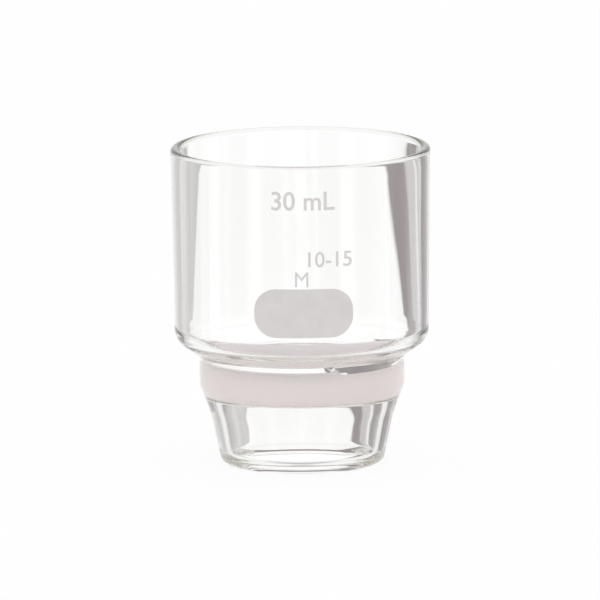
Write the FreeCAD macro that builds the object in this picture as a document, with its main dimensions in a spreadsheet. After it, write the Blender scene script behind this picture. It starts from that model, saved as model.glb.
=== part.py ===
"""Low-form filtering crucible, 30 mL: a blown glass bowl fused to a tapered skirt, with a sintered disc.

Millimetres. The origin is the centre of the foot, +Z is the axis of the glass and -Y is the printed side.
"""
import FreeCAD, Part
import math
import os
import Sketcher

os.makedirs("parts", exist_ok=True)
doc = FreeCAD.newDocument("filtering_crucible")

# Driving sizes
SIZES = [
    ("disc_width", "30", "across the sintered disc"),
    ("disc_thickness", "5.15", "through the sintered disc"),
    ("rim_width", "43.34", "across the outside of the rim"),
    ("rim_wall", "1.75", "glass at the rim"),
    ("rim_bevel", "0.45", "polished edges of the rim"),
    ("bowl_depth", "36", "from the disc up to the rim"),
    ("bowl_taper", "0.5", "how far the bowl draws in from the rim to its shoulder"),
    ("shoulder_wall", "1.05", "glass just above the shoulder"),
    ("shoulder_slope", "33", "rise of the underside, degrees"),
    ("shoulder_round", "3.2", "outside of the shoulder"),
    ("corner_round", "2.6", "inside of the shoulder"),
    ("floor_wall", "1.5", "upright thickness of the sloping floor"),
    ("floor_step", "1", "from the disc's edge out to the floor's edge"),
    ("neck_wall", "2.1", "glass round the disc"),
    ("neck_drop", "0.3", "from the disc's upper face down to the neck's upper edge"),
    ("neck_length", "3.55", "straight band of the neck"),
    ("groove_depth", "0.3", "pinch at the fused seal"),
    ("groove_bevel", "0.35", "height of the pinch's lower slope"),
    ("groove_width", "0.5", "height of the pinch's bottom"),
    ("toe_reach", "1.1", "from the pinch out to the toe of the shoulder"),
    ("toe_rise", "1.1", "from the pinch up to the toe of the shoulder"),
    ("skirt_depth", "12", "from the foot up to the disc's underside"),
    ("upper_taper", "1.7", "how far the skirt draws in from the neck to its waist"),
    ("waist_height", "8.8", "from the foot up to the waist, where the taper changes"),
    ("lower_taper", "1.9", "how far the skirt draws in from its waist to the foot"),
    ("foot_wall", "1.55", "glass just above the foot bead"),
    ("foot_round", "1.5", "outside of the foot"),
    ("ledge_width", "1.6", "how far the skirt's glass reaches under the disc"),
    ("bead_reach", "1.6", "how far the foot bead swells inward"),
    ("bead_height", "2.2", "from the foot up to the start of the bead"),
    ("bead_crest", "0.95", "from the foot up to the bead's narrowest ring"),
    ("bead_bevel", "1.2", "inner edge of the foot, below the crest"),
    ("spot_width", "16.3", "marking spot, side to side"),
    ("spot_height", "8.2", "marking spot, top to bottom"),
    ("spot_round", "3.6", "corners of the marking spot"),
    ("spot_thickness", "0.1", "fired enamel"),
    ("spot_clearance", "0.02", "from the glass out to the back of the enamel"),
    ("spot_rise", "3.5", "from the shoulder up to the marking spot"),
    ("spot_offset", "0.35", "the print stands a little to the right of the middle"),
]

sheet = doc.addObject("Spreadsheet::Sheet", "sizes")
for row, (name, value, meaning) in enumerate(SIZES, start=1):
    sheet.set(f"A{row}", name)
    sheet.set(f"B{row}", value)
    sheet.set(f"C{row}", meaning)
    sheet.setAlias(f"B{row}", name)
doc.recompute()

# Heights and radii that follow from the sizes
SLOPE = "tan(sizes.shoulder_slope * 1deg)"
FOOT = "0"
DISC_TOP = "(sizes.skirt_depth + sizes.disc_thickness)"
RIM_TOP = f"({DISC_TOP} + sizes.bowl_depth)"
NECK_TOP = f"({DISC_TOP} - sizes.neck_drop)"
NECK_FOOT = f"({NECK_TOP} - sizes.neck_length)"
GROOVE_FOOT = f"({NECK_TOP} + sizes.groove_bevel)"
GROOVE_TOP = f"({GROOVE_FOOT} + sizes.groove_width)"
TOE_HEIGHT = f"({GROOVE_TOP} + sizes.toe_rise)"

DISC_EDGE = "(sizes.disc_width / 2)"
NECK_EDGE = f"({DISC_EDGE} + sizes.neck_wall)"
GROOVE_EDGE = f"({NECK_EDGE} - sizes.groove_depth)"
TOE_EDGE = f"({GROOVE_EDGE} + sizes.toe_reach)"
RIM_EDGE = "(sizes.rim_width / 2)"
RIM_BORE = f"({RIM_EDGE} - sizes.rim_wall)"
SHOULDER_EDGE = f"({RIM_EDGE} - sizes.bowl_taper)"
SHOULDER_BORE = f"({SHOULDER_EDGE} - sizes.shoulder_wall)"
SHOULDER_HEIGHT = f"({TOE_HEIGHT} + {SLOPE} * ({SHOULDER_EDGE} - {TOE_EDGE}))"

FLOOR_EDGE = f"({DISC_EDGE} + sizes.floor_step)"
FLOOR_HEIGHT = f"({TOE_HEIGHT} + {SLOPE} * ({FLOOR_EDGE} - {TOE_EDGE}) + sizes.floor_wall)"
CORNER_HEIGHT = f"({TOE_HEIGHT} + {SLOPE} * ({SHOULDER_BORE} - {TOE_EDGE}) + sizes.floor_wall)"

WAIST_EDGE = f"({NECK_EDGE} - sizes.upper_taper)"
FOOT_EDGE = f"({WAIST_EDGE} - sizes.lower_taper)"
BORE_TOP = f"({DISC_EDGE} - sizes.ledge_width)"
BORE_FOOT = f"({FOOT_EDGE} - sizes.foot_wall)"
BEAD_EDGE = f"({BORE_FOOT} - sizes.bead_reach)"


def origin_plane(body, role):
    """The body's own origin plane of that role."""
    for feature in body.Origin.OriginFeatures:
        if feature.Role == role:
            return feature
    raise ValueError(f"{body.Label} has no plane {role}")


def new_body(name):
    body = doc.addObject("PartDesign::Body", name)
    body.Label = name
    return body


def new_sketch(body, name, role):
    sketch = body.newObject("Sketcher::SketchObject", name)
    sketch.AttachmentSupport = (origin_plane(body, role), [""])
    sketch.MapMode = "FlatFace"
    doc.recompute()
    return sketch


def pin_corner(sketch, element, across, up):
    """Ties a point, or the start of a line, to its distances from the origin, each a formula of the sizes."""
    for kind, formula, axis in (("DistanceX", across, -2), ("DistanceY", up, -1)):
        if formula == "0":
            sketch.addConstraint(Sketcher.Constraint("PointOnObject", element, 1, axis))
        else:
            place = sketch.evalExpression(formula)
            index = sketch.addConstraint(Sketcher.Constraint(kind, -1, 1, element, 1, float(place)))
            sketch.setExpression(f"Constraints[{index}]", formula)


def corner_arc(before, corner, after, radius):
    """Arc of that radius in a corner, with the two points where it meets the corner's lines."""
    back = (before - corner).normalize()
    ahead = (after - corner).normalize()
    half = back.getAngle(ahead) / 2
    start = corner + back * (radius / math.tan(half))
    end = corner + ahead * (radius / math.tan(half))
    middle = corner + (back + ahead).normalize() * (radius / math.sin(half) - radius)
    return Part.Arc(start, middle, end), start, end


def draw_outline(body, name, corners):
    """Closed outline on the upright plane through the axis. Some corners name the size of their round."""
    sketch = new_sketch(body, name, "XZ_Plane")
    points = [FreeCAD.Vector(sketch.evalExpression(place[0]), sketch.evalExpression(place[1]), 0)
              for place in corners]
    count = len(points)
    arcs = {}
    for number, place in enumerate(corners):
        if len(place) > 2:
            radius = float(sketch.evalExpression(place[2]))
            arcs[number] = corner_arc(points[number - 1], points[number], points[(number + 1) % count], radius)
    for number in range(count):
        following = (number + 1) % count
        start = arcs[number][2] if number in arcs else points[number]
        end = arcs[following][1] if following in arcs else points[following]
        sketch.addGeometry(Part.LineSegment(start, end))
    for number, place in enumerate(corners):
        line_before = (number - 1) % count
        if number not in arcs:
            sketch.addConstraint(Sketcher.Constraint("Coincident", line_before, 2, number, 1))
            pin_corner(sketch, number, place[0], place[1])
            continue
        arc, start, end = arcs[number]
        tip = sketch.addGeometry(Part.Point(points[number]), True)
        bend = sketch.addGeometry(arc)
        near, far = (1, 2) if sketch.getPoint(bend, 1).isEqual(start, 1e-6) else (2, 1)
        pin_corner(sketch, tip, place[0], place[1])
        sketch.addConstraint(Sketcher.Constraint("PointOnObject", tip, 1, line_before))
        sketch.addConstraint(Sketcher.Constraint("PointOnObject", tip, 1, number))
        sketch.addConstraint(Sketcher.Constraint("Tangent", line_before, 2, bend, near))
        sketch.addConstraint(Sketcher.Constraint("Tangent", bend, far, number, 1))
        size = sketch.addConstraint(Sketcher.Constraint("Radius", bend, sketch.Geometry[bend].Radius))
        sketch.setExpression(f"Constraints[{size}]", place[2])
    doc.recompute()
    return sketch


def turn(body, kind, name, sketch):
    """A full turn of the sketch round the glass's axis, as a solid or as a cut."""
    feature = body.newObject(kind, name)
    feature.Profile = sketch
    feature.ReferenceAxis = (sketch, ["V_Axis"])
    feature.Angle = 360
    doc.recompute()
    return feature


def make_glass_body():
    """Bowl, fused seal, neck and skirt: one wall, drawn as half a cross-section and turned."""
    outside = [
        (FOOT_EDGE, FOOT, "sizes.foot_round"),
        (WAIST_EDGE, "sizes.waist_height"),
        (NECK_EDGE, NECK_FOOT),
        (NECK_EDGE, NECK_TOP),
        (GROOVE_EDGE, GROOVE_FOOT),
        (GROOVE_EDGE, GROOVE_TOP),
        (TOE_EDGE, TOE_HEIGHT),
        (SHOULDER_EDGE, SHOULDER_HEIGHT, "sizes.shoulder_round"),
        (RIM_EDGE, f"({RIM_TOP} - sizes.rim_bevel)"),
        (f"({RIM_EDGE} - sizes.rim_bevel)", RIM_TOP),
    ]
    inside = [
        (f"({RIM_BORE} + sizes.rim_bevel)", RIM_TOP),
        (RIM_BORE, f"({RIM_TOP} - sizes.rim_bevel)"),
        (SHOULDER_BORE, CORNER_HEIGHT, "sizes.corner_round"),
        (FLOOR_EDGE, FLOOR_HEIGHT),
        (DISC_EDGE, DISC_TOP),
        (DISC_EDGE, "sizes.skirt_depth"),
        (BORE_TOP, "sizes.skirt_depth"),
        (BORE_FOOT, "sizes.bead_height"),
        (BEAD_EDGE, "sizes.bead_crest"),
        (f"({BEAD_EDGE} + sizes.bead_bevel)", FOOT),
    ]
    body = new_body("glass_body")
    section = draw_outline(body, "wall_section", outside + inside)
    turn(body, "PartDesign::Revolution", "wall", section)
    return body


def make_frit_disc():
    """Round plate of sintered grains, edge to edge with the bore of the neck."""
    body = new_body("frit_disc")
    sketch = new_sketch(body, "disc_outline", "XY_Plane")
    radius = float(sketch.evalExpression(DISC_EDGE))
    circle = sketch.addGeometry(Part.Circle(FreeCAD.Vector(0, 0, 0), FreeCAD.Vector(0, 0, 1), radius))
    sketch.addConstraint(Sketcher.Constraint("Coincident", circle, 3, -1, 1))
    index = sketch.addConstraint(Sketcher.Constraint("Diameter", circle, 2 * radius))
    sketch.setExpression(f"Constraints[{index}]", "sizes.disc_width")
    pad = body.newObject("PartDesign::Pad", "disc_plate")
    pad.Profile = sketch
    pad.setExpression("Length", "sizes.disc_thickness")
    body.setExpression("Placement.Base.z", "sizes.skirt_depth")
    doc.recompute()
    return body


def make_marking_spot():
    """Patch of fired enamel, cut from a block so that its back lies on the bowl's tapered wall."""
    left = "(sizes.spot_offset - sizes.spot_width / 2)"
    right = "(sizes.spot_offset + sizes.spot_width / 2)"
    bottom = f"({SHOULDER_HEIGHT} + sizes.spot_rise)"
    top = f"({bottom} + sizes.spot_height)"
    face = "(sizes.spot_clearance + sizes.spot_thickness)"
    front = f"({RIM_EDGE} + 2 * {face})"

    body = new_body("marking_spot")
    outline = draw_outline(body, "spot_outline", [
        (left, bottom, "sizes.spot_round"),
        (right, bottom, "sizes.spot_round"),
        (right, top, "sizes.spot_round"),
        (left, top, "sizes.spot_round"),
    ])
    block = body.newObject("PartDesign::Pad", "spot_block")
    block.Profile = outline
    block.setExpression("Length", front)
    doc.recompute()

    behind = draw_outline(body, "wall_side", [
        ("0", SHOULDER_HEIGHT),
        (f"({SHOULDER_EDGE} + sizes.spot_clearance)", SHOULDER_HEIGHT),
        (f"({RIM_EDGE} + sizes.spot_clearance)", RIM_TOP),
        ("0", RIM_TOP),
    ])
    turn(body, "PartDesign::Groove", "wall_cut", behind)
    beyond = draw_outline(body, "open_side", [
        (f"({SHOULDER_EDGE} + {face})", SHOULDER_HEIGHT),
        (f"(2 * {front})", SHOULDER_HEIGHT),
        (f"(2 * {front})", RIM_TOP),
        (f"({RIM_EDGE} + {face})", RIM_TOP),
    ])
    turn(body, "PartDesign::Groove", "face_cut", beyond)
    return body


sub_parts = [make_glass_body(), make_frit_disc(), make_marking_spot()]
doc.recompute()

for item in doc.Objects:
    if "Invalid" in item.State or "Error" in item.State:
        raise RuntimeError(f"{item.Label} failed: {item.State}")
for sub_part in sub_parts:
    shape = sub_part.Shape
    if shape.isNull() or not shape.isValid() or len(shape.Solids) != 1:
        raise RuntimeError(f"{sub_part.Label} is not one valid solid")
    box = shape.BoundBox
    print(sub_part.Label, "volume", round(shape.Volume, 2), "x", round(box.XMin, 3), round(box.XMax, 3),
          "y", round(box.YMin, 3), round(box.YMax, 3), "z", round(box.ZMin, 3), round(box.ZMax, 3))
for sub_part in sub_parts:
    sub_part.Shape.exportStep(f"parts/{sub_part.Label}.step")
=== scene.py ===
"""Looks of the 30 mL filtering crucible: clear blown glass, a sintered disc, fired enamel print."""
import math
import bmesh
import bpy
from mathutils import Matrix, Vector


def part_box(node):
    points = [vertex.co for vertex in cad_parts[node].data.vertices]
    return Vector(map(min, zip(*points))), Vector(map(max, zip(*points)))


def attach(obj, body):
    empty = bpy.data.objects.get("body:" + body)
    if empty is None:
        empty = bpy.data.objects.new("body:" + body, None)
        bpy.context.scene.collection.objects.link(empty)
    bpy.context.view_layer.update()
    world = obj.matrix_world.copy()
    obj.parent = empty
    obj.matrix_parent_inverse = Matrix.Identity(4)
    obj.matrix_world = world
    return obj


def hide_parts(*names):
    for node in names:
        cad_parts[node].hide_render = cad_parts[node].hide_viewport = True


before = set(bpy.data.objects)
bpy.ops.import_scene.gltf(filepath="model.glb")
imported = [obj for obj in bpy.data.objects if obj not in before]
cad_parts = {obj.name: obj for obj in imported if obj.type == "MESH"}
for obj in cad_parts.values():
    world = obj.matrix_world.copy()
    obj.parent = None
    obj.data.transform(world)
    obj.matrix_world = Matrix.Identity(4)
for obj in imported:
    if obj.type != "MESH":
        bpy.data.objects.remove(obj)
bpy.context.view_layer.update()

MM = 0.001

# Photograph: pixels across, pixels to a millimetre, the aim in millimetres, angles in degrees, metres away
IMAGE_WIDTH = 600
PIXELS_PER_MM = 6.0
AIM_X = -0.25
AIM_Z = 27.2
CAMERA_RISE = 9.75
CAMERA_ROLL = -0.43
CAMERA_DISTANCE = 3.0

# Boxes of the frame's solids, and the millimetres that they give
body_low, body_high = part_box("glass_body")
disc_low, disc_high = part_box("frit_disc")
spot_low, spot_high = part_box("marking_spot")
HEIGHT = body_high[2] / MM
DISC_RADIUS = disc_high[0] / MM
DISC_FOOT = disc_low[2] / MM
DISC_TOP = disc_high[2] / MM

# Enamel, in millimetres
SPOT_THICKNESS = 0.1
SPOT_ROUND = 3.6
PRINT_THICKNESS = 0.04
ENAMEL_LIFT = 0.005
STRIP_WIDTH = 0.4

# Wall of the glass, in millimetres
RIM_RADIUS = 21.67
RIM_WALL = 1.75
RIM_ROUND = 0.7
RIM_BORE_ROUND = 0.95
BOWL_TAPER = 0.5
SHOULDER_WALL = 1.05
SHOULDER_SLOPE = math.tan(math.radians(33))
SHOULDER_ROUND = 3.2
CORNER_ROUND = 2.6
FLOOR_WALL = 1.5
FLOOR_STEP = 1.0
FLOOR_ROUND = 0.3
NECK_WALL = 2.1
NECK_DROP = 0.3
NECK_LENGTH = 3.55
NECK_ROUND = 3.0
NECK_EDGE_ROUND = 0.45
GROOVE_DEPTH = 0.3
GROOVE_BEVEL = 0.35
GROOVE_WIDTH = 0.5
GROOVE_ROUND = 0.12
TOE_REACH = 1.1
TOE_RISE = 1.1
TOE_ROUND = 0.3
UPPER_TAPER = 1.7
WAIST_HEIGHT = 8.8
WAIST_ROUND = 10.0
LOWER_TAPER = 1.9
FOOT_WALL = 1.55
FOOT_ROUND = 1.5
LEDGE_WIDTH = 1.6
LEDGE_ROUND = 0.6
BEAD_REACH = 1.6
BEAD_HEIGHT = 2.2
BEAD_CREST = 0.95
BEAD_BEVEL = 1.2
BEAD_ROUND = 0.5
BEAD_BLEND = 1.5
DISC_FUSE = 0.04
DISC_EDGE = 0.12

# Unevenness of hand-worked glass, in millimetres and in degrees round the axis
WOBBLE = 0.18
LEAN, LEAN_ANGLE, LEAN_SPREAD = 0.06, 51.0, 12.0
SKIRT_LEAN, SKIRT_LEAN_ANGLE = 0.06, 38.0
SEAT_SWELL = 0.95
SWELL_START, SWELL_SLANT, SWELL_FADE_IN = 12.0, 8.0, 8.0
SWELL_END, SWELL_FADE_OUT = 58.0, 30.0

# Fineness of the meshes: steps round the axis, longest run in millimetres, angles in degrees
WALL_SEGMENTS = 384
DISC_SEGMENTS = 256
LONGEST_RUN = 1.5
ARC_STEP = 6.0
CREASE = 35.0

# Colour of the glass along its wall, to a metre, and the waves of its surface, to a metre
TINT = (0.80, 0.81, 0.74)
TINT_DENSITY = 40.0
GLASS_IOR = 1.474
GLASS_WAVES = 150.0
GLASS_BUMP = 0.02

# Radii and heights that follow
NECK_RADIUS = DISC_RADIUS + NECK_WALL
NECK_TOP = DISC_TOP - NECK_DROP
GROOVE_RADIUS = NECK_RADIUS - GROOVE_DEPTH
GROOVE_FOOT = NECK_TOP + GROOVE_BEVEL
GROOVE_TOP = GROOVE_FOOT + GROOVE_WIDTH
TOE_RADIUS = GROOVE_RADIUS + TOE_REACH
TOE_HEIGHT = GROOVE_TOP + TOE_RISE
SHOULDER_RADIUS = RIM_RADIUS - BOWL_TAPER
SHOULDER_HEIGHT = TOE_HEIGHT + SHOULDER_SLOPE * (SHOULDER_RADIUS - TOE_RADIUS)
SHOULDER_BORE = SHOULDER_RADIUS - SHOULDER_WALL
FLOOR_RADIUS = DISC_RADIUS + FLOOR_STEP
WAIST_RADIUS = NECK_RADIUS - UPPER_TAPER
FOOT_RADIUS = WAIST_RADIUS - LOWER_TAPER
BORE_TOP = DISC_RADIUS - LEDGE_WIDTH
BORE_FOOT = FOOT_RADIUS - FOOT_WALL
BEAD_RADIUS = BORE_FOOT - BEAD_REACH


def floor_height(radius):
    """Height of the bowl's sloping floor at a radius."""
    return TOE_HEIGHT + SHOULDER_SLOPE * (radius - TOE_RADIUS) + FLOOR_WALL


def wall_radius(height):
    """Outside radius of the bowl's tapered wall at a height."""
    share = (height - SHOULDER_HEIGHT) / (HEIGHT - SHOULDER_HEIGHT)
    return SHOULDER_RADIUS + share * BOWL_TAPER


# Half a cross-section of the wall as corners: radius, height, rounding
OUTSIDE = [
    (FOOT_RADIUS, 0.0, FOOT_ROUND),
    (WAIST_RADIUS, WAIST_HEIGHT, WAIST_ROUND),
    (NECK_RADIUS, NECK_TOP - NECK_LENGTH, NECK_ROUND),
    (NECK_RADIUS, NECK_TOP, NECK_EDGE_ROUND),
    (GROOVE_RADIUS, GROOVE_FOOT, GROOVE_ROUND),
    (GROOVE_RADIUS, GROOVE_TOP, GROOVE_ROUND),
    (TOE_RADIUS, TOE_HEIGHT, TOE_ROUND),
    (SHOULDER_RADIUS, SHOULDER_HEIGHT, SHOULDER_ROUND),
    (RIM_RADIUS, HEIGHT, RIM_ROUND),
]
INSIDE = [
    (RIM_RADIUS - RIM_WALL, HEIGHT, RIM_BORE_ROUND),
    (SHOULDER_BORE, floor_height(SHOULDER_BORE), CORNER_ROUND),
    (FLOOR_RADIUS, floor_height(FLOOR_RADIUS), FLOOR_ROUND),
    (DISC_RADIUS, DISC_TOP, 0.0),
    (DISC_RADIUS, DISC_FOOT, 0.0),
    (BORE_TOP, DISC_FOOT, LEDGE_ROUND),
    (BORE_FOOT, BEAD_HEIGHT, BEAD_BLEND),
    (BEAD_RADIUS, BEAD_CREST, BEAD_ROUND),
    (BEAD_RADIUS + BEAD_BEVEL, 0.0, BEAD_ROUND),
]


def rounded(corners):
    """The closed outline through the corners, with each corner rolled to its arc."""
    outline = []
    for index, (radius, height, rounding) in enumerate(corners):
        corner = Vector((radius, height))
        if rounding == 0:
            outline.append(corner)
            continue
        back = (Vector(corners[index - 1][:2]) - corner).normalized()
        ahead = (Vector(corners[(index + 1) % len(corners)][:2]) - corner).normalized()
        half = math.acos(max(-1.0, min(1.0, back.dot(ahead)))) / 2
        centre = corner + (back + ahead).normalized() * rounding / math.sin(half)
        start = corner + back * rounding / math.tan(half) - centre
        end = corner + ahead * rounding / math.tan(half) - centre
        turn = start.angle_signed(end)
        count = max(2, math.ceil(abs(math.degrees(turn)) / ARC_STEP))
        for number in range(count + 1):
            outline.append(centre + Matrix.Rotation(-turn * number / count, 2) @ start)
    return outline


def spread(outline):
    """The outline with its long straight runs divided, so that a wobble can bend them."""
    points = []
    for index, point in enumerate(outline):
        after = outline[(index + 1) % len(outline)]
        count = max(1, math.ceil((after - point).length / LONGEST_RUN))
        points.extend(point.lerp(after, number / count) for number in range(count))
    return points


def new_piece(name, mesh_data, material):
    """A smooth piece of the object that rides on its one body."""
    mesh = bpy.data.meshes.new(name)
    mesh_data.normal_update()
    mesh_data.to_mesh(mesh)
    mesh_data.free()
    mesh.shade_smooth()
    mesh.set_sharp_from_angle(angle=math.radians(CREASE))
    mesh.materials.append(material)
    piece = bpy.data.objects.new(name, mesh)
    bpy.context.scene.collection.objects.link(piece)
    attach(piece, "root")
    return piece


def turned(outline, segments, wobble):
    """A closed ring outline turned round the axis; wobble moves a point outward by angle and height."""
    mesh_data = bmesh.new()
    rings = []
    for segment in range(segments):
        angle = math.tau * segment / segments
        ring = []
        for point in outline:
            radius = point.x + wobble(point, angle)
            place = (radius * MM * math.cos(angle), radius * MM * math.sin(angle), point.y * MM)
            ring.append(mesh_data.verts.new(place))
        rings.append(ring)
    count = len(outline)
    for segment in range(segments):
        ring, following = rings[segment], rings[(segment + 1) % segments]
        for index in range(count):
            after = (index + 1) % count
            mesh_data.faces.new((ring[index], following[index], following[after], ring[after]))
    bmesh.ops.recalc_face_normals(mesh_data, faces=mesh_data.faces)
    return mesh_data


class Nodes:
    """Short helpers for a node tree."""

    def __init__(self, tree):
        self.tree = tree

    def add(self, kind, **values):
        node = self.tree.nodes.new(kind)
        for name, value in values.items():
            setattr(node, name, value)
        return node

    def link(self, source, target):
        self.tree.links.new(source, target)

    def math(self, operation, *values):
        node = self.add("ShaderNodeMath", operation=operation)
        for index, value in enumerate(values):
            if isinstance(value, (int, float)):
                node.inputs[index].default_value = value
            else:
                self.link(value, node.inputs[index])
        return node.outputs[0]

    def step(self, value, start, end):
        """0 before start, 1 after end, smooth between."""
        node = self.add("ShaderNodeMapRange", interpolation_type="SMOOTHSTEP")
        self.link(value, node.inputs["Value"])
        node.inputs["From Min"].default_value = start
        node.inputs["From Max"].default_value = end
        return node.outputs["Result"]

    def blend(self, share, first, second):
        """first where share is 0, second where it is 1."""
        difference = self.math("SUBTRACT", second, first)
        return self.math("ADD", first, self.math("MULTIPLY", share, difference))

    def between(self, value, low, high, edge):
        """1 between low and high, 0 outside, with smooth edges."""
        return self.math("MULTIPLY", self.step(value, low, low + edge), self.step(value, high, high - edge))

    def curve(self, value, low, high, stops):
        """A grey level that runs through the stops, each a place between low and high and a level."""
        place = self.math("DIVIDE", self.math("SUBTRACT", value, low), high - low)
        ramp = self.add("ShaderNodeValToRGB")
        elements = ramp.color_ramp.elements
        elements.remove(elements[-1])
        for index, (at, level) in enumerate(stops):
            element = elements[0] if index == 0 else elements.new((at - low) / (high - low))
            element.position = (at - low) / (high - low)
            element.color = (level, level, level, 1)
        self.link(place, ramp.inputs["Fac"])
        parts = self.add("ShaderNodeSeparateColor")
        self.link(ramp.outputs["Color"], parts.inputs["Color"])
        return parts.outputs["Red"]


def new_material(name):
    """A material with its node helpers and its shader."""
    material = bpy.data.materials.new(name)
    material.use_nodes = True
    nodes = Nodes(material.node_tree)
    return material, nodes, material.node_tree.nodes["Principled BSDF"]


def noise(nodes, scale, detail):
    """Fixed noise in object space; scale is in waves to a metre."""
    texture = nodes.add("ShaderNodeTexNoise")
    texture.inputs["Scale"].default_value = scale
    texture.inputs["Detail"].default_value = detail
    nodes.link(nodes.add("ShaderNodeTexCoord").outputs["Object"], texture.inputs["Vector"])
    return texture.outputs["Fac"]


def bump(nodes, height, distance, strength, shader):
    """Fine relief on a shader; distance is in metres."""
    node = nodes.add("ShaderNodeBump")
    node.inputs["Distance"].default_value = distance
    node.inputs["Strength"].default_value = strength
    nodes.link(height, node.inputs["Height"])
    nodes.link(node.outputs["Normal"], shader.inputs["Normal"])


def colour_mix(nodes, share, first, second, clamp=True):
    """first where share is 0, second where it is 1, each a colour or a socket."""
    node = nodes.add("ShaderNodeMix", data_type="RGBA", clamp_factor=clamp)
    nodes.link(share, node.inputs["Factor"])
    for socket, colour in (("A", first), ("B", second)):
        target = [entry for entry in node.inputs if entry.name == socket and entry.type == "RGBA"][0]
        if isinstance(colour, tuple):
            target.default_value = (*colour, 1)
        else:
            nodes.link(colour, target)
    return [entry for entry in node.outputs if entry.type == "RGBA"][0]


def make_clear_glass():
    """Borosilicate glass: no colour across the wall, a faint grey-green along it."""
    material, nodes, shader = new_material("clear_glass")
    shader.inputs["Base Color"].default_value = (1, 1, 1, 1)
    shader.inputs["Roughness"].default_value = 0.0
    shader.inputs["IOR"].default_value = GLASS_IOR
    shader.inputs["Transmission Weight"].default_value = 1.0
    tint = nodes.add("ShaderNodeVolumeAbsorption")
    tint.inputs["Color"].default_value = (*TINT, 1)
    tint.inputs["Density"].default_value = TINT_DENSITY
    nodes.link(tint.outputs["Volume"], material.node_tree.nodes["Material Output"].inputs["Volume"])
    bump(nodes, noise(nodes, GLASS_WAVES, 1.0), 0.0002, GLASS_BUMP, shader)
    return material


def make_sintered_glass():
    """Sintered grains: matt and near white, with open pores on the filtering faces."""
    material, nodes, shader = new_material("sintered_glass")
    shader.inputs["Roughness"].default_value = 0.85
    shader.inputs["IOR"].default_value = GLASS_IOR
    grain = noise(nodes, 9000.0, 3.0)
    cloud = noise(nodes, 260.0, 2.0)
    mottle = nodes.math("ADD", nodes.math("MULTIPLY", grain, 0.6), nodes.math("MULTIPLY", cloud, 0.4))
    side = colour_mix(nodes, mottle, (0.825, 0.755, 0.76), (0.88, 0.815, 0.82))
    # Painted shade: the top band of the side, from 16.1 mm up, turns a darker, cooler grey, standing in for
    # the shade seen there through the seal's rounded edge
    painted_seal_shade = colour_mix(nodes, mottle, (0.74, 0.70, 0.72), (0.79, 0.755, 0.775))
    place = nodes.add("ShaderNodeSeparateXYZ")
    nodes.link(nodes.add("ShaderNodeTexCoord").outputs["Object"], place.inputs["Vector"])
    side = colour_mix(nodes, nodes.step(place.outputs["Z"], 16.1 * MM, 16.8 * MM), side, painted_seal_shade)
    face = colour_mix(nodes, mottle, (0.645, 0.585, 0.595), (0.725, 0.67, 0.68))
    geometry = nodes.add("ShaderNodeNewGeometry")
    tilt = nodes.add("ShaderNodeSeparateXYZ")
    nodes.link(geometry.outputs["True Normal"], tilt.inputs["Vector"])
    flat = nodes.step(nodes.math("ABSOLUTE", tilt.outputs["Z"]), 0.6, 0.8)
    nodes.link(colour_mix(nodes, flat, side, face), shader.inputs["Base Color"])
    bump(nodes, grain, 0.00008, 0.5, shader)
    return material


def make_enamel():
    """Fired white enamel with the faint mottle and pinholes of a screened print."""
    material, nodes, shader = new_material("white_enamel")
    cloud = noise(nodes, 420.0, 3.0)
    colour = colour_mix(nodes, cloud, (0.61, 0.587, 0.578), (0.70, 0.677, 0.668))
    nodes.link(colour, shader.inputs["Base Color"])
    fine = noise(nodes, 5200.0, 2.0)
    shader.inputs["Roughness"].default_value = 0.55
    shader.inputs["Specular IOR Level"].default_value = 0.3
    bump(nodes, fine, 0.00003, 0.35, shader)
    return material


def lean(angle, centre):
    """Gentle slope of the wall at the right, in front and behind, round an angle from the picture's plane."""
    if math.cos(angle) <= 0:
        return 0.0
    away = (90 - math.degrees(math.asin(abs(math.sin(angle)))) - centre) / LEAN_SPREAD
    return away * math.exp(-away * away)


def glass_wobble(point, angle):
    """Uneven wall of blown glass: the inside swells and thins by a few hundredths of a millimetre."""
    if BEAD_HEIGHT + 1 < point.y < DISC_FOOT - 1 and point.x < BORE_TOP + 0.2:
        return SKIRT_LEAN * lean(angle, SKIRT_LEAN_ANGLE)
    if not SHOULDER_HEIGHT < point.y <= HEIGHT - 2 * RIM_ROUND:
        return 0.0
    if point.x >= wall_radius(point.y) - 0.6 * SHOULDER_WALL:
        return 0.0
    waves = 0.035 * math.sin(3 * angle + 0.09 * point.y) + 0.02 * math.sin(7 * angle - 0.17 * point.y)
    middle = (SHOULDER_HEIGHT + HEIGHT) / 2
    tilt = (middle - point.y) / (HEIGHT - middle)
    return WOBBLE * waves + LEAN * lean(angle, LEAN_ANGLE) * tilt


def smooth(value, start, end):
    """0 before start, 1 after end, smooth between."""
    share = max(0.0, min(1.0, (value - start) / (end - start)))
    return share * share * (3 - 2 * share)


def swell_share(climb, turn):
    """How much of the seal's swell there is at an angle from the front; its start slants with the climb."""
    start = SWELL_START + SWELL_SLANT * (1 - climb)
    fade_in = smooth(turn, start, start + SWELL_FADE_IN)
    return fade_in * (1 - smooth(turn, SWELL_END, SWELL_END + SWELL_FADE_OUT))


def seal_swell(point, angle):
    """Hand-worked seal: at the front right its pinch is filled and its glass leans over the disc's edge."""
    turn = math.degrees(angle) - 270.0
    if turn < 0 or not DISC_TOP < point.y < SHOULDER_HEIGHT:
        return 0.0
    if point.y > floor_height(point.x) - FLOOR_WALL / 2:
        if not DISC_RADIUS < point.x < FLOOR_RADIUS + FLOOR_ROUND:
            return 0.0
        climb = min(1.0, (point.y - DISC_TOP) / (floor_height(FLOOR_RADIUS) - DISC_TOP))
        return -SEAT_SWELL * climb * swell_share(climb, turn)
    climb = (point.y - GROOVE_FOOT) / (TOE_HEIGHT - GROOVE_FOOT)
    if 0 < climb < 1 and point.x > GROOVE_RADIUS - 0.01:
        return swell_share(climb, turn) * max(0.0, GROOVE_RADIUS + climb * TOE_REACH - point.x)
    return 0.0


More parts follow.
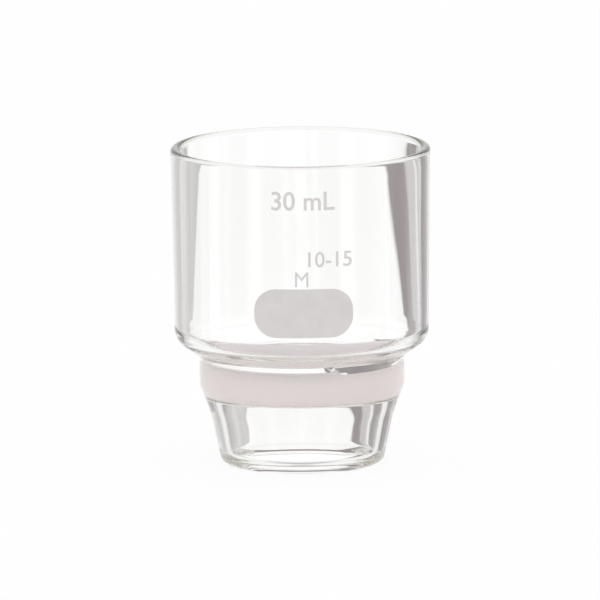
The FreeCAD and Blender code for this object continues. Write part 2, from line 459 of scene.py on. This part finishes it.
def uneven(point, angle):
    """How far a point of the wall's outline lies from its true radius."""
    return glass_wobble(point, angle) + seal_swell(point, angle)


def make_glass_body(material):
    """Bowl, fused seal, neck and skirt as one wall."""
    outline = spread(rounded(OUTSIDE + INSIDE))
    piece = new_piece("glass_wall", turned(outline, WALL_SEGMENTS, uneven), material)
    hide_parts("glass_body")


def make_frit(material):
    """The plate, a hair wider than its seat, because sintered grains and wall are fused without a gap."""
    radius, top, foot, edge = DISC_RADIUS + DISC_FUSE, DISC_TOP, DISC_FOOT - DISC_FUSE, DISC_EDGE
    rings = [(radius * share, top) for share in (0.05, 0.35, 0.65, 0.9)]
    rings += [(radius - edge, top), (radius, top - edge), (radius, foot + edge), (radius - edge, foot)]
    rings += [(radius * share, foot) for share in (0.9, 0.65, 0.35, 0.05)]
    mesh_data = bmesh.new()
    loops = []
    for ring_radius, height in rings:
        loop = []
        for segment in range(DISC_SEGMENTS):
            angle = math.tau * segment / DISC_SEGMENTS
            x, y = ring_radius * math.cos(angle), ring_radius * math.sin(angle)
            loop.append(mesh_data.verts.new((x * MM, y * MM, height * MM)))
        loops.append(loop)
    for upper, lower in zip(loops, loops[1:]):
        for segment in range(DISC_SEGMENTS):
            after = (segment + 1) % DISC_SEGMENTS
            mesh_data.faces.new((upper[segment], lower[segment], lower[after], upper[after]))
    mesh_data.faces.new(loops[0])
    mesh_data.faces.new(list(reversed(loops[-1])))
    bmesh.ops.recalc_face_normals(mesh_data, faces=mesh_data.faces)
    piece = new_piece("frit_plate", mesh_data, material)
    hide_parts("frit_disc")


def wrap_on_wall(mesh_data):
    """Bends a flat shape, drawn in x and z with y as its depth, round the outside of the bowl."""
    for vertex in mesh_data.verts:
        across, depth, height = (value / MM for value in vertex.co)
        radius = wall_radius(height) + ENAMEL_LIFT + depth
        angle = math.asin(max(-1.0, min(1.0, across / wall_radius(height))))
        vertex.co = Vector((radius * math.sin(angle), -radius * math.cos(angle), height)) * MM


def cut_into_strips(mesh_data, low, high):
    """Adds upright cuts across a flat shape, so that it bends smoothly."""
    count = int((high - low) / STRIP_WIDTH)
    for number in range(1, count + 1):
        geometry = mesh_data.verts[:] + mesh_data.edges[:] + mesh_data.faces[:]
        place = ((low + number * STRIP_WIDTH) * MM, 0, 0)
        bmesh.ops.bisect_plane(mesh_data, geom=geometry, plane_co=place, plane_no=(1, 0, 0), dist=1e-7)


def make_marking_spot(material):
    """Rounded patch of enamel on the front of the bowl, where the frame's solid lies."""
    left, right = spot_low[0] / MM, spot_high[0] / MM
    bottom, top = spot_low[2] / MM, spot_high[2] / MM
    corner = SPOT_ROUND
    mesh_data = bmesh.new()
    outline = []
    centres = [(right - corner, top - corner, 0), (left + corner, top - corner, 90),
               (left + corner, bottom + corner, 180), (right - corner, bottom + corner, 270)]
    for centre_x, centre_z, start in centres:
        for number in range(17):
            angle = math.radians(start + 90 * number / 16)
            outline.append((centre_x + corner * math.cos(angle), centre_z + corner * math.sin(angle)))
    front = [mesh_data.verts.new((x * MM, SPOT_THICKNESS * MM, z * MM)) for x, z in outline]
    back = [mesh_data.verts.new((x * MM, 0, z * MM)) for x, z in outline]
    mesh_data.faces.new(front)
    mesh_data.faces.new(list(reversed(back)))
    for index in range(len(outline)):
        after = (index + 1) % len(outline)
        mesh_data.faces.new((front[index], back[index], back[after], front[after]))
    cut_into_strips(mesh_data, left, right)
    wrap_on_wall(mesh_data)
    bmesh.ops.triangulate(mesh_data, faces=mesh_data.faces)
    bmesh.ops.recalc_face_normals(mesh_data, faces=mesh_data.faces)
    piece = new_piece("enamel_spot", mesh_data, material)
    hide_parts("marking_spot")


# Print: text, place across, foot height, cap height and overall width in millimetres, and added weight
PRINT_CENTRE = (spot_low[0] + spot_high[0]) / 2 / MM
PRINT_LINES = [
    ("capacity_print", "30 mL", 0.0, 45.85, 3.2, 10.45, 0.012),
    ("pore_print", "10-15", 4.4, 36.3, 2.6, 7.2, 0.008),
    ("grade_print", "M", -0.3, 33.0, 2.5, 2.2, 0.0),
]


def make_print(name, words, shift, foot, cap, width, weight, material):
    """One line of fired print: flat letters, given a little depth and bent on to the wall."""
    letters = bpy.data.curves.new(name, "FONT")
    letters.body = words
    letters.size = 1.0
    letters.resolution_u = 6
    letters.offset = weight
    letters.extrude = 0.5
    holder = bpy.data.objects.new(name + "_outline", letters)
    bpy.context.scene.collection.objects.link(holder)
    bpy.context.view_layer.update()
    flat = bpy.data.meshes.new_from_object(holder)
    mesh_data = bmesh.new()
    mesh_data.from_mesh(flat)
    bpy.data.objects.remove(holder)
    bpy.data.meshes.remove(flat)
    bpy.data.curves.remove(letters)
    xs = [vertex.co.x for vertex in mesh_data.verts]
    ys = [vertex.co.y for vertex in mesh_data.verts]
    middle = PRINT_CENTRE + shift
    stretch, rise = width / (max(xs) - min(xs)), cap / (max(ys) - min(ys))
    for vertex in mesh_data.verts:
        across = middle + (vertex.co.x - (max(xs) + min(xs)) / 2) * stretch
        depth = (vertex.co.z + 0.5) * PRINT_THICKNESS
        height = foot + (vertex.co.y - min(ys)) * rise
        vertex.co = Vector((across, depth, height)) * MM
    cut_into_strips(mesh_data, middle - width / 2, middle + width / 2)
    wrap_on_wall(mesh_data)
    bmesh.ops.triangulate(mesh_data, faces=mesh_data.faces)
    new_piece(name, mesh_data, material)


def make_floor():
    """Plain pale table. The camera sees it near white with the glass's soft shadow."""
    mesh_data = bmesh.new()
    bmesh.ops.create_circle(mesh_data, cap_ends=True, segments=96, radius=3.0)
    mesh = bpy.data.meshes.new("table")
    mesh_data.to_mesh(mesh)
    mesh_data.free()
    table = bpy.data.objects.new("table", mesh)
    table.location.z = -0.02 * MM
    bpy.context.scene.collection.objects.link(table)
    material, nodes, shader = new_material("pale_table")
    shader.inputs["Base Color"].default_value = (0.94, 0.94, 0.94, 1)
    shader.inputs["Roughness"].default_value = 0.9
    glow = nodes.add("ShaderNodeEmission")
    clear = nodes.add("ShaderNodeBsdfTransparent")
    path = nodes.add("ShaderNodeLightPath")
    seen_through = nodes.math("MAXIMUM", path.outputs["Is Transmission Ray"], path.outputs["Is Glossy Ray"])
    pale = nodes.add("ShaderNodeMixShader")
    pale.inputs["Fac"].default_value = 0.88
    nodes.link(shader.outputs["BSDF"], pale.inputs[1])
    nodes.link(glow.outputs["Emission"], pale.inputs[2])
    surface = nodes.add("ShaderNodeMixShader")
    nodes.link(seen_through, surface.inputs["Fac"])
    nodes.link(pale.outputs["Shader"], surface.inputs[1])
    nodes.link(clear.outputs["BSDF"], surface.inputs[2])
    nodes.link(surface.outputs["Shader"], material.node_tree.nodes["Material Output"].inputs["Surface"])
    mesh.materials.append(material)


def make_studio():
    """Soft studio: a white card behind each quarter of the circle, greys between, pale table and roof."""
    world = bpy.data.worlds.new("studio")
    world.use_nodes = True
    bpy.context.scene.world = world
    nodes = Nodes(world.node_tree)
    coordinates = nodes.add("ShaderNodeTexCoord")
    direction = nodes.add("ShaderNodeSeparateXYZ")
    nodes.link(coordinates.outputs["Generated"], direction.inputs["Vector"])
    x, y, z = direction.outputs
    turn = nodes.math("MULTIPLY", nodes.math("ARCTAN2", x, y), math.degrees(1))
    rise = nodes.math("MULTIPLY", nodes.math("ARCSINE", z), math.degrees(1))
    sector = 90.0
    shifted = nodes.math("MODULO", nodes.math("ADD", turn, 360 + sector / 2), sector)
    across = nodes.math("SUBTRACT", shifted, sector / 2)
    cards = nodes.curve(across, -sector / 2, sector / 2, [
        (-45, 0.95), (-39, 0.85), (-35, 0.55), (-25, 0.5), (-20, 0.66), (-12, 0.7), (-10, 0.64),
        (-7.4, 0.58), (-7.2, 1.04), (4.5, 1.04), (4.7, 0.23), (8.4, 0.26), (8.9, 0.52), (13.2, 0.6),
        (14.3, 0.88), (15.8, 0.88),
        (16.8, 0.34), (18, 0.24), (36, 0.22), (39, 0.8), (45, 0.95),
    ])
    # A dark strip low behind the glass: the seal and the foot show it
    strip = nodes.math("MULTIPLY", nodes.between(rise, 4.0, 15.0, 1.0), nodes.between(turn, -25.0, 14.0, 1.0))
    strip_light, shade_light, table_light, wall_light, roof_light = 0.18, 0.5, 0.95, 1.0, 1.3
    cards = nodes.blend(strip, cards, strip_light)
    level = nodes.blend(nodes.step(rise, -26, -18), table_light, cards)
    # The table is in shade close in front of the glass
    shaded = nodes.math("MULTIPLY", nodes.step(rise, -45, -55), nodes.step(y, 0.05, -0.05))
    level = nodes.blend(shaded, level, shade_light)
    level = nodes.blend(nodes.step(rise, 16, 24), level, wall_light)
    level = nodes.blend(nodes.step(rise, 45, 55), level, roof_light)
    # Even light on the matt pieces, in reflections and straight behind the glass
    path = nodes.add("ShaderNodeLightPath")
    level = nodes.blend(nodes.step(path.outputs["Diffuse Depth"], 0.2, 0.8), level, 1.0)
    through = path.outputs["Is Transmission Ray"]
    mirrored = nodes.math("SUBTRACT", path.outputs["Is Glossy Ray"], through)
    level = nodes.blend(nodes.step(mirrored, 0.4, 0.6), level, 1.0)
    level = nodes.blend(path.outputs["Is Camera Ray"], level, 1.0)
    background = world.node_tree.nodes["Background"]
    colour = colour_mix(nodes, level, (0.05, 0.0, 0.012), (1, 1, 1), clamp=False)
    nodes.link(colour, background.inputs["Color"])


def make_camera():
    """Camera at the photograph's angle: a long lens, a little above the rim."""
    distance, elevation, roll = CAMERA_DISTANCE, math.radians(CAMERA_RISE), math.radians(CAMERA_ROLL)
    aim = Vector((AIM_X, 0.0, AIM_Z)) * MM
    camera = bpy.data.cameras.new("camera")
    camera.sensor_width = 36.0
    camera.lens = 36.0 * distance / (IMAGE_WIDTH / PIXELS_PER_MM * MM)
    camera.clip_end = 30.0
    viewer = bpy.data.objects.new("camera", camera)
    bpy.context.scene.collection.objects.link(viewer)
    viewer.location = aim + Vector((0, -math.cos(elevation), math.sin(elevation))) * distance
    facing = (aim - viewer.location).to_track_quat("-Z", "Y").to_matrix().to_4x4()
    viewer.rotation_euler = (facing @ Matrix.Rotation(roll, 4, "Z")).to_euler()
    bpy.context.scene.camera = viewer


clear_glass = make_clear_glass()
enamel = make_enamel()
make_glass_body(clear_glass)
make_frit(make_sintered_glass())
make_marking_spot(enamel)
for line in PRINT_LINES:
    make_print(*line, enamel)
make_floor()
make_studio()
make_camera()
scene = bpy.context.scene
scene.view_settings.view_transform = "Standard"
scene.cycles.blur_glossy = 0
scene.cycles.diffuse_bounces = 8
scene.cycles.max_bounces = 40
scene.cycles.glossy_bounces = 20
scene.cycles.transmission_bounces = 32
